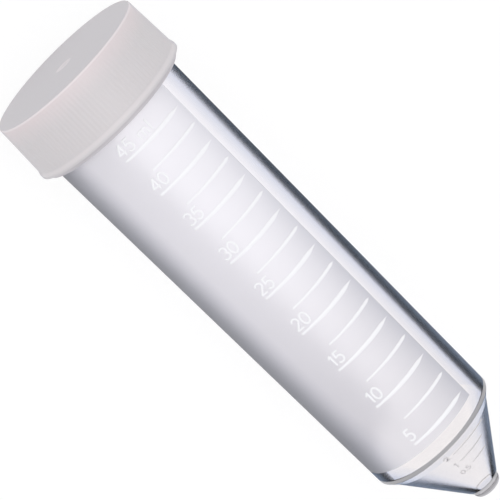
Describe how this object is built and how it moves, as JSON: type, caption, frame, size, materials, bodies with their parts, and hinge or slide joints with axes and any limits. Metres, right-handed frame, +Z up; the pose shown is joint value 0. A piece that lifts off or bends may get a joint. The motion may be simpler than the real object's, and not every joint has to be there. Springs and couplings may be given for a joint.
{
  "type": "conical centrifuge tube",
  "caption": "Clear conical-bottom lab tube lying on its side, with moulded graduations, a frosted panel and a ribbed flat screw cap.",
  "frame": {"origin": "on the bench, under the middle of the tube's length", "axes": "+Z up from the bench; the tube lies along X with its cap towards -X and its tip towards +X; graduations face up and towards -Y"},
  "size_m": [0.1188, 0.0348, 0.0348],
  "materials": {
    "clear_polypropylene": "clear, with a satin graduation panel",
    "cap_polyethylene": "satin"
  },
  "bodies": {
    "tube": {"tube": "clear_polypropylene"},
    "cap": {"screw_cap": "cap_polyethylene"}
  },
  "joints": [
    {"name": "cap_lift", "type": "slide", "parent": "tube", "child": "cap", "axis": [-0.9993, 0, 0.0385], "range_m": [0, 0.03]}
  ]
}
